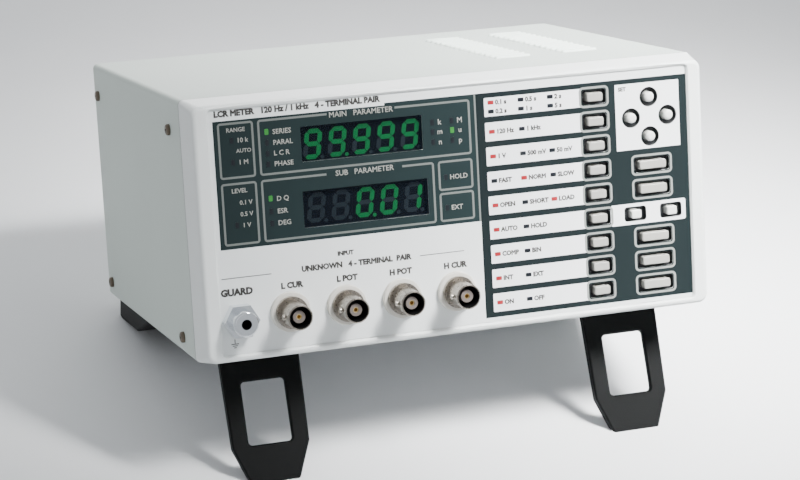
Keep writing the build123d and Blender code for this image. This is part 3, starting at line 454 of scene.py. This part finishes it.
# the first strip has a second line of lamps under its first
strip_lamps = [(x, ROW_Z[0] - FIRST_STRIP_LINES) for x in STRIP_LAMP_X]
for row, count in enumerate(STRIP_LAMP_COUNTS):
    lamp_z = ROW_Z[row] + (FIRST_STRIP_LINES if row == 0 else 0)
    strip_lamps += [(x, lamp_z) for x in STRIP_LAMP_X[:count]]
strip_lamp_holes = [lamp_hole(x, z, STRIP_LAMP) for x, z in strip_lamps]
column_lamp_holes = [lamp_hole(x, z, COLUMN_LAMP) for x, heights in LAMP_COLUMNS for z in heights]

# ---- wells of the keys ----
row_wells = [rounded(ROW_KEY_X, z, ROW_WELL, WELL_HEIGHT, WELL_CORNER) for z in ROW_Z]
wide_wells = [rounded(WIDE_KEY_X, ROW_Z[row], WIDE_WELL, WELL_HEIGHT, WELL_CORNER) for row in WIDE_ROWS]
small_wells = [rounded(x, ROW_Z[SMALL_ROW], SMALL_WELL, WELL_HEIGHT, WELL_CORNER) for x in SMALL_KEY_X]
arrow_wells = [disc(x, z, ARROW_WELL) for x, z in ARROWS]

# ---- dark fields: the display overlay, and the key field on its right; white strips in them ----
FIELD_TOP = 94.1
DISPLAY_LEFT = -95.5
DISPLAY_RIGHT = 8.1
DISPLAY_BOTTOM = 44.6
KEYS_LEFT = 8.8
KEYS_RIGHT = 97.1
KEYS_BOTTOM = 6.0
# the overlay's top edge is a little lower under the title
TITLE_EDGE = 93.2
TITLE_END = -28.0
STRIP_LEFT = 12.2
STRIP_RIGHT = 52.4
STRIP_HEIGHT = 7.3
STRIP_CORNER = 0.4
DISPLAY_FIELD = [
    (DISPLAY_LEFT, DISPLAY_BOTTOM), (DISPLAY_RIGHT, DISPLAY_BOTTOM), (DISPLAY_RIGHT, FIELD_TOP),
    (TITLE_END, FIELD_TOP), (TITLE_END, TITLE_EDGE), (DISPLAY_LEFT, TITLE_EDGE),
]
KEY_FIELD = box_outline(KEYS_LEFT, KEYS_RIGHT, KEYS_BOTTOM, FIELD_TOP)
arrow_square = box_outline(66.8, 94.0, 66.0, 92.2)
small_strip = rounded(79.2, ROW_Z[SMALL_ROW], 32.2, 8.4, 0.9)
strip_middle = (STRIP_LEFT + STRIP_RIGHT) / 2
strip_length = STRIP_RIGHT - STRIP_LEFT
row_strips = [rounded(strip_middle, z, strip_length, STRIP_HEIGHT, STRIP_CORNER) for z in ROW_Z]
windows = [rounded(*MAIN_WINDOW, WINDOW_CORNER), rounded(*SUB_WINDOW, WINDOW_CORNER)]
key_field_holes = row_strips + row_wells + wide_wells + [arrow_square, small_strip]
ink("display_field", [DISPLAY_FIELD, *windows, *column_lamp_holes], INK_NIGHT, FIELD_LAYER)
ink("key_field", [KEY_FIELD, *key_field_holes], INK_SLATE, FIELD_LAYER)
ink("label_strips", [*row_strips, *strip_lamp_holes], INK_WHITE, FIELD_LAYER)
ink("small_key_strip", [small_strip, *small_wells], INK_WHITE, FIELD_LAYER)
ink("arrow_field", [arrow_square, *arrow_wells], INK_WHITE, FIELD_LAYER)

# ---- grey outlines round keys and displays ----
KEY_LINE = 0.85
KEY_FRAME_HALF = 4.1
KEY_FRAME_CORNER = 1.8
# (left, right) of the frames round the row keys and round the wide keys
ROW_FRAME = (51.6, 64.1)
WIDE_FRAME = (72.7, 90.1)
key_frames = []
for frame_x, rows in ((ROW_FRAME, range(len(ROW_Z))), (WIDE_FRAME, WIDE_ROWS)):
    for row in rows:
        bottom_top = (ROW_Z[row] - KEY_FRAME_HALF, ROW_Z[row] + KEY_FRAME_HALF)
        key_frames += frame_outlines(*frame_x, *bottom_top, KEY_LINE, KEY_FRAME_CORNER)
ink("key_outlines", key_frames, INK_LINE, LINE_LAYER)

DISPLAY_LINE = 0.8
DISPLAY_FRAME_CORNER = 1.2
# (left, right, bottom, top) of each frame in the display field
DISPLAY_FRAMES = (
    (-93.8, -79.9, 71.2, 92.4), (-78.3, 6.3, 71.2, 92.4),
    (-93.8, -79.9, 45.9, 69.6), (-78.3, -9.4, 45.9, 69.6),
    (-7.8, 6.3, 58.0, 69.6), (-7.8, 6.3, 45.9, 57.2),
)
display_frames = []
for edges in DISPLAY_FRAMES:
    display_frames += frame_outlines(*edges, DISPLAY_LINE, DISPLAY_FRAME_CORNER)
ink("display_outlines", display_frames, INK_GREY, LINE_LAYER)

# ---- legends: plain numbers, units and function words ----
pale_words = [
    ("RANGE", -86.8, 89.6, 1.6, "CENTER"), ("10 k", -86.6, 85.6, 1.8, "LEFT"),
    ("AUTO", -87.0, 81.6, 1.5, "LEFT"), ("1 M", -86.4, 77.3, 1.8, "LEFT"),
    ("LEVEL", -86.8, 66.6, 1.7, "CENTER"), ("0.1 V", -87.0, 62.0, 1.7, "LEFT"),
    ("0.5 V", -87.0, 57.6, 1.7, "LEFT"), ("1 V", -86.4, 53.4, 1.7, "LEFT"),
    ("SERIES", -72.6, 87.5, 1.9, "LEFT"), ("PARAL", -72.6, 83.4, 1.9, "LEFT"),
    ("L C R", -72.6, 79.4, 1.9, "LEFT"), ("PHASE", -72.6, 75.3, 1.9, "LEFT"),
    ("D Q", -72.6, 62.1, 1.9, "LEFT"), ("ESR", -72.6, 57.3, 1.9, "LEFT"),
    ("DEG", -72.6, 52.8, 1.9, "LEFT"),
    ("k", -6.3, 84.9, 2.1, "CENTER"), ("m", -6.3, 81.2, 2.1, "CENTER"), ("n", -6.3, 77.2, 2.1, "CENTER"),
    ("M", 1.9, 84.9, 2.1, "CENTER"), ("u", 1.9, 81.2, 2.1, "CENTER"), ("p", 1.9, 77.2, 2.1, "CENTER"),
    ("HOLD", -3.2, 63.2, 1.9, "LEFT"), ("EXT", -3.2, 51.3, 1.9, "LEFT"),
]
lettering("pale_legends", pale_words, INK_PALE, WORD_LAYER)
# the two headers sit in gaps of the frames' top lines
header_gaps = [box_outline(-51.0, -24.0, 90.4, 92.8), box_outline(-52.5, -22.2, 68.1, 70.6)]
ink("header_gaps", header_gaps, INK_NIGHT, WORD_LAYER)
header_words = [
    ("MAIN   PARAMETER", -37.5, 91.7, 2.1, "CENTER"),
    ("SUB   PARAMETER", -37.3, 69.3, 2.1, "CENTER"),
]
lettering("header_legends", header_words, INK_PALE, HEADER_LAYER)

# one word beside each lamp of a strip; the first strip has two lines
STRIP_WORDS = (
    (("0.1 s", "0.5 s", "2 s"), ("0.2 s", "1 s", "5 s")),
    (("120 Hz", "1 kHz"),),
    (("1 V", "500 mV", "50 mV"),),
    (("FAST", "NORM", "SLOW"),),
    (("OPEN", "SHORT", "LOAD"),),
    (("AUTO", "HOLD"),),
    (("COMP", "BIN"),),
    (("INT", "EXT"),),
    (("ON", "OFF"),),
)
STRIP_WORD_HEIGHT = 1.75
STRIP_WORD_SHIFT = 1.9
brown_words = []
for row, lines in enumerate(STRIP_WORDS):
    for line, words in enumerate(lines):
        z = ROW_Z[row]
        if row == 0:
            z += FIRST_STRIP_LINES * (1 - 2 * line)
        for column, word in enumerate(words):
            word_x = STRIP_LAMP_X[column] + STRIP_WORD_SHIFT
            brown_words.append((word, word_x, z, STRIP_WORD_HEIGHT, "LEFT"))
brown_words.append(("SET", 68.2, 90.3, 1.5, "LEFT"))
lettering("brown_legends", brown_words, INK_BROWN, LINE_LAYER, weight=BOLD)
jack_words = [
    ("GUARD", -90.4, 28.3, 2.6, "CENTER"), ("L CUR", -68.8, 28.5, 2.2, "CENTER"),
    ("L POT", -46.8, 28.7, 2.2, "CENTER"), ("H POT", -25.2, 28.7, 2.2, "CENTER"),
    ("H CUR", -2.9, 28.7, 2.2, "CENTER"),
    ("INPUT", -46.8, 38.4, 1.6, "CENTER"), ("UNKNOWN   4 - TERMINAL  PAIR", -42.6, 34.1, 2.1, "CENTER"),
]
lettering("jack_legends", jack_words, INK_BROWN, LINE_LAYER, weight=BOLDEST)
title_words = [("LCR METER   120 Hz / 1 kHz   4 - TERMINAL PAIR", -94.8, 96.0, 2.2, "LEFT")]
lettering("title_legend", title_words, INK_BROWN, LINE_LAYER, weight=BOLDEST)
# a rule on each side of the jacks' heading
rules = [box_outline(-96.0, -76.5, 33.5, 33.75), box_outline(-17.0, 1.1, 33.7, 33.95)]
# earth sign under the guard socket
rules += [box_outline(-92.55, -92.25, 8.6, 10.2), box_outline(-93.9, -90.9, 8.2, 8.5),
          box_outline(-93.4, -91.4, 7.5, 7.8), box_outline(-92.9, -91.9, 6.8, 7.1)]
ink("panel_rules", rules, INK_BROWN, LINE_LAYER)
divider = box_outline(DISPLAY_RIGHT, KEYS_LEFT, DISPLAY_BOTTOM, FIELD_TOP)
ink("divider_line", [divider], INK_GREY, FIELD_LAYER)

# ================= displays =================
DIGIT_WIDTH = 6.9
DIGIT_HEIGHT = 11.5
DIGIT_X = (-56.5, -46.8, -37.1, -27.4, -17.7)
MAIN_DIGITS_Z = 81.0
SUB_DIGITS_Z = 56.6
STROKE = 1.75
BAR_GAP = 0.12
BAR_THICKNESS = 0.1
DOT_RADIUS = 0.75
DOT_STEPS = 14
DOT_SHIFT = 0.9
DOT_RISE = 0.5
SLANT = math.tan(math.radians(8))
SEGMENTS = {"9": "abcdfg", "0": "abcdef", "1": "bc", " ": ""}


def segment_outline(letter, x, z):
    """One bar of a seven-segment digit, with pointed ends, leaning like real display digits."""
    half_w = (DIGIT_WIDTH - STROKE) / 2
    half_h = (DIGIT_HEIGHT - STROKE) / 2
    flat = letter in "adg"
    along = (half_w if flat else half_h / 2) - BAR_GAP
    if flat:
        middle = (0, {"a": half_h, "d": -half_h, "g": 0}[letter])
    else:
        middle = (half_w if letter in "bc" else -half_w, half_h / 2 if letter in "bf" else -half_h / 2)
    tip = STROKE / 2
    bar = [(-along, 0), (tip - along, tip), (along - tip, tip),
           (along, 0), (along - tip, -tip), (tip - along, -tip)]
    outline = []
    for length, side in bar:
        bar_x, bar_z = (length, side) if flat else (side, length)
        outline.append((bar_x + middle[0], bar_z + middle[1]))
    return [(x + across + up * SLANT, z + up) for across, up in outline]


def display(name, text, point, z):
    """Lit and unlit bars of one display, on the face of its module; point counts digits from 0."""
    lit, unlit = [], []
    for index, (digit, x) in enumerate(zip(text, DIGIT_X)):
        for letter in "abcdefg":
            (lit if letter in SEGMENTS[digit] else unlit).append(segment_outline(letter, x, z))
        dot_x = x + DIGIT_WIDTH / 2 + DOT_SHIFT - DIGIT_HEIGHT / 2 * SLANT
        dot = disc(dot_x, z - DIGIT_HEIGHT / 2 + DOT_RISE, DOT_RADIUS, DOT_STEPS)
        (lit if index == point else unlit).append(dot)
    for kind, bars, material, slot in (("lit", lit, LIT, "green_lamp"), ("unlit", unlit, UNLIT, "dark_lamp")):
        mesh = filled(bars, BAR_THICKNESS)
        mesh.transform(panel_place(MODULE_FACE - BAR_THICKNESS / 2))
        piece(f"{name}_{kind}", mesh, material, "case")


display("main_digits", "99999", 1, MAIN_DIGITS_Z)
display("sub_digits", "  001", 2, SUB_DIGITS_Z)


# ================= small fittings =================
def mesh_from(name, vertices, faces, place):
    """A smooth mesh from vertices and faces, moved to its place in the part's own frame."""
    mesh = bpy.data.meshes.new(name)
    mesh.from_pydata(vertices, [], faces)
    mesh.transform(place)
    mesh.polygons.foreach_set("use_smooth", [True] * len(mesh.polygons))
    mesh.update()
    return mesh


def lathe(centres, profile, steps=48):
    """Vertices and faces of one (radius, depth) profile turned about several axes along case Y."""
    vertices, faces = [], []
    for x, z in centres:
        start = len(vertices)
        for step in range(steps):
            angle = 2 * math.pi * step / steps
            vertices += [
                (x + radius * math.cos(angle), y, z + radius * math.sin(angle)) for radius, y in profile
            ]
        size = len(profile)
        for step in range(steps):
            here, there = start + step * size, start + (step + 1) % steps * size
            faces += [(here + n, here + n + 1, there + n + 1, there + n) for n in range(size - 1)]
    return vertices, faces


# painted shade: black sleeves inside the coaxial jacks and in the guard socket's bore, standing in for the
# shade deep in them, as (radius, depth) profiles
JACK_SHADE_PROFILE = ((4.27, -12.5), (4.27, -4.05), (2.45, -4.05))
GUARD_SHADE_PROFILE = ((1.97, -8.6), (1.97, 5.8), (0.1, 5.9))
jack_painted_shade = lathe([(JACK_X + JACK_PITCH * step, JACK_Z) for step in range(JACK_COUNT)], JACK_SHADE_PROFILE)
piece("jack_painted_shades", mesh_from("jack_painted_shades", *jack_painted_shade, CASE), SHADE_LINER, "case")
guard_painted_shade = lathe([(GUARD_X, GUARD_Z)], GUARD_SHADE_PROFILE)
piece("guard_painted_shade", mesh_from("guard_painted_shade", *guard_painted_shade, CASE), SHADE_LINER, "case")


def wall_strip(name, front, back, proud, material):
    """A thin line round the whole case, standing a hair proud of its walls."""
    width, height = CASE_WIDTH + 2 * proud, CASE_HEIGHT + 2 * proud
    outline = rounded(0, CASE_HEIGHT / 2, width, height, CASE_CORNER + proud, 8)
    vertices = [(x, y, z) for x, z in outline for y in (front, back)]
    count = len(outline)
    faces = [(2 * n, 2 * n + 1, (2 * n + 3) % (2 * count), (2 * n + 2) % (2 * count)) for n in range(count)]
    piece(name, mesh_from(name, vertices, faces, CASE), material, "case")


# the parting line between bezel and cover
PARTING_FRONT = 13.4
PARTING_BACK = 13.75
PARTING_PROUD = 0.02
wall_strip("parting_line", PARTING_FRONT, PARTING_BACK, PARTING_PROUD, SHADOW_LINE)

# generic symbols on the rocker switch: a bar and a ring on its two faces
ROCKER_TILT = math.radians(8.0)
ROCKER_CENTRE = Vector((30.0, 160.5, 32.0))
# the dished face is lowest in its middle, and rises by the dish towards each end
ROCKER_HALF = 7.4
ROCKER_MIDDLE = 3.2
ROCKER_DISH = 1.4
FACE_TILT = math.atan2(ROCKER_DISH, ROCKER_HALF)
SYMBOL_REACH = 3.9
SYMBOL_PROUD = 0.02
SYMBOL_THICKNESS = 0.06
SYMBOL_HALF = 1.3
BAR_HALF = 0.3
RING_INNER = 0.85


def rocker_place(side):
    """Drawing plane on one half of the rocker's dished face."""
    tilt = ROCKER_TILT - side * FACE_TILT
    across = Vector((-1, 0, 0))
    up = Vector((0, -math.sin(tilt), math.cos(tilt)))
    out = Vector((0, math.cos(tilt), math.sin(tilt)))
    up_rest = Vector((0, -math.sin(ROCKER_TILT), math.cos(ROCKER_TILT)))
    out_rest = Vector((0, math.cos(ROCKER_TILT), math.sin(ROCKER_TILT)))
    height = ROCKER_MIDDLE + ROCKER_DISH * SYMBOL_REACH / ROCKER_HALF + SYMBOL_PROUD
    centre = ROCKER_CENTRE + up_rest * (side * SYMBOL_REACH) + out_rest * height
    turn = Matrix((across, up, out)).transposed().to_4x4()
    return CASE @ Matrix.Translation(centre) @ turn


bar = filled([box_outline(-BAR_HALF, BAR_HALF, -SYMBOL_HALF, SYMBOL_HALF)], SYMBOL_THICKNESS)
bar.transform(rocker_place(1))
piece("rocker_bar", bar, INK_PALE, "power_rocker")
ring = filled([disc(0, 0, SYMBOL_HALF), disc(0, 0, RING_INNER)], SYMBOL_THICKNESS)
ring.transform(rocker_place(-1))
piece("rocker_ring", ring, INK_PALE, "power_rocker")

# legends and a ruled blank plate on the rear panel; seen from behind, drawing X is case -X
REAR_DRAWING = Matrix(((-1, 0, 0, 0), (0, 0, 1, 0), (0, 1, 0, 0), (0, 0, 0, 1)))
rear_place = CASE @ Matrix.Translation((0, REAR_FACE, 0)) @ REAR_DRAWING
rear_words = [
    ("FUSE", -66.0, 55.5, 2.6, "CENTER"), ("MAINS", -66.0, 7.4, 2.6, "CENTER"),
    ("POWER", -30.0, 46.5, 2.6, "CENTER"), ("INTERFACE", 20.0, 39.5, 2.6, "CENTER"),
]
lettering("rear_legends", rear_words, INK_BROWN, LINE_LAYER, rear_place, MEDIUM)
PLATE_THICKNESS = 0.12
RULE_THICKNESS = 0.16
RULE_BOTTOM = 60.0
RULE_WIDTH = 0.25
RULE_PITCH = 4.0
plate = filled([rounded(2.0, 66.0, 52.0, 20.0, 1.5)], PLATE_THICKNESS)
plate.transform(rear_place)
piece("rear_plate", plate, STEEL, "case")
plate_lines = []
for line in range(4):
    bottom = RULE_BOTTOM + RULE_PITCH * line
    plate_lines.append(box_outline(-20.0, 24.0, bottom, bottom + RULE_WIDTH))
lines = filled(plate_lines, RULE_THICKNESS)
lines.transform(rear_place)
piece("rear_plate_lines", lines, INK_BROWN, "case")


# ================= studio, in metres =================
FLOOR_HALF = 6.0
SKY_COLOUR = (0.93, 0.96, 1.0)
SKY_STRENGTH = 0.66
# (name, place, aim, size, power in watts, spread in degrees); the key light is a narrow beam
LAMPS = (
    ("key_light", (0.38, -0.38, 0.78), (0.22, -0.12, 0.27), (0.32, 0.32), 2.6, 30.0),
    ("top_light", (0.45, 0.35, 1.5), (0, 0, 0.06), (1.2, 0.9), 3.0, 180.0),
    ("front_fill", (-0.2, -1.7, 0.6), (0, 0, 0.06), (1.0, 0.7), 0.6, 180.0),
    ("back_light", (0.6, 1.8, 0.5), (0, 0, 0.1), (1.8, 0.7), 20.0, 180.0),
)


def lamp(name, place, aim, size, power, spread):
    """A rectangular area light."""
    data = bpy.data.lights.new(name, "AREA")
    data.shape = "RECTANGLE"
    data.size, data.size_y = size
    data.energy = power
    data.spread = math.radians(spread)
    light = bpy.data.objects.new(name, data)
    bpy.context.scene.collection.objects.link(light)
    light.location = place
    light.rotation_euler = (Vector(aim) - Vector(place)).to_track_quat("-Z", "Y").to_euler()


def studio():
    """A pale floor, an even sky and four area lights."""
    mesh = bpy.data.meshes.new("floor")
    corners = [(-FLOOR_HALF, -FLOOR_HALF, 0), (FLOOR_HALF, -FLOOR_HALF, 0),
               (FLOOR_HALF, FLOOR_HALF, 0), (-FLOOR_HALF, FLOOR_HALF, 0)]
    mesh.from_pydata(corners, [], [(0, 1, 2, 3)])
    floor = bpy.data.objects.new("floor", mesh)
    bpy.context.scene.collection.objects.link(floor)
    mesh.materials.append(finish("floor_paper", (0.80, 0.81, 0.82), 0.75, grain=200.0, spread=0.008))

    world = bpy.data.worlds.new("studio")
    bpy.context.scene.world = world
    world.use_nodes = True
    background = world.node_tree.nodes["Background"]
    background.inputs["Color"].default_value = (*SKY_COLOUR, 1)
    background.inputs["Strength"].default_value = SKY_STRENGTH
    for settings in LAMPS:
        lamp(*settings)


CAMERA_AZIMUTH = -20.0035
CAMERA_ELEVATION = 26.0034
CAMERA_ROLL = 2.4751
CAMERA_TARGET = Vector((-0.00542, -0.02303, 0.06401))
CAMERA_DISTANCE = 1.05485
CAMERA_LENS = 116.51


def camera():
    """Long lens from the front left, a little above, as in the reference view."""
    azimuth = math.radians(CAMERA_AZIMUTH)
    elevation = math.radians(CAMERA_ELEVATION)
    back = Vector((
        math.sin(azimuth) * math.cos(elevation),
        -math.cos(azimuth) * math.cos(elevation),
        math.sin(elevation),
    ))
    data = bpy.data.cameras.new("camera")
    data.lens = CAMERA_LENS
    data.sensor_width = 36.0
    data.clip_start = 0.05
    view = bpy.data.objects.new("camera", data)
    bpy.context.scene.collection.objects.link(view)
    look = back.to_track_quat("Z", "Y").to_matrix().to_4x4()
    roll = Matrix.Rotation(math.radians(CAMERA_ROLL), 4, "Z")
    view.matrix_world = Matrix.Translation(CAMERA_TARGET + back * CAMERA_DISTANCE) @ look @ roll
    bpy.context.scene.camera = view


studio()
camera()
